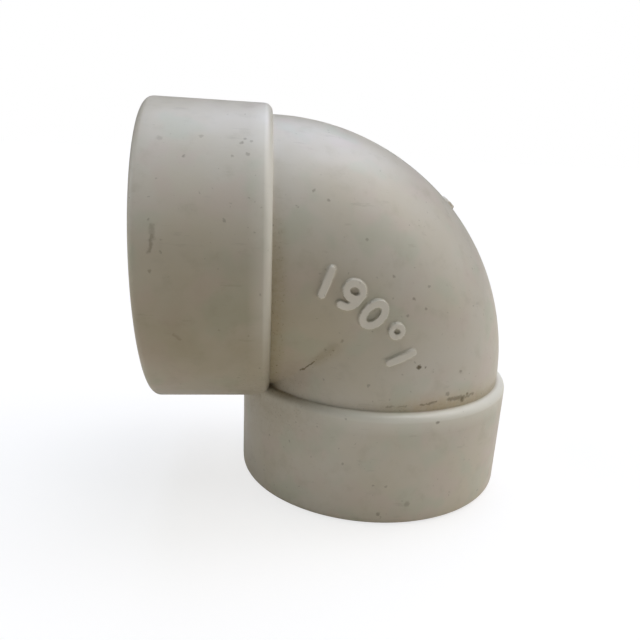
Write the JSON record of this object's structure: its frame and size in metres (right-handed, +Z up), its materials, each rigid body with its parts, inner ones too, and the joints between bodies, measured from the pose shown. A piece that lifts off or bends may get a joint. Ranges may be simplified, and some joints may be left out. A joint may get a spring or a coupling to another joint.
{
  "type": "push-fit pipe elbow",
  "caption": "Short-radius 90 degree drain pipe elbow in white PVC, with two plain push-fit sockets that each hold a rubber lip seal in an inner groove.",
  "frame": {"origin": "centre of the bounding box, on the plane of the lower socket's mouth, which the elbow stands on", "axes": "+Z up, against the way the lower socket opens; -X the way the side socket opens; the elbow is symmetric about Y = 0 apart from the raised mark on its -Y side"},
  "size_m": [0.1468, 0.1128, 0.1469],
  "materials": {
    "pvc": "aged off-white PVC, satin, with grime in the corners and small dark specks",
    "seal_rubber": "matte black elastomer"
  },
  "bodies": {
    "root": {"elbow_body": "pvc", "side_seal_ring": "seal_rubber", "lower_seal_ring": "seal_rubber"}
  },
  "joints": []
}
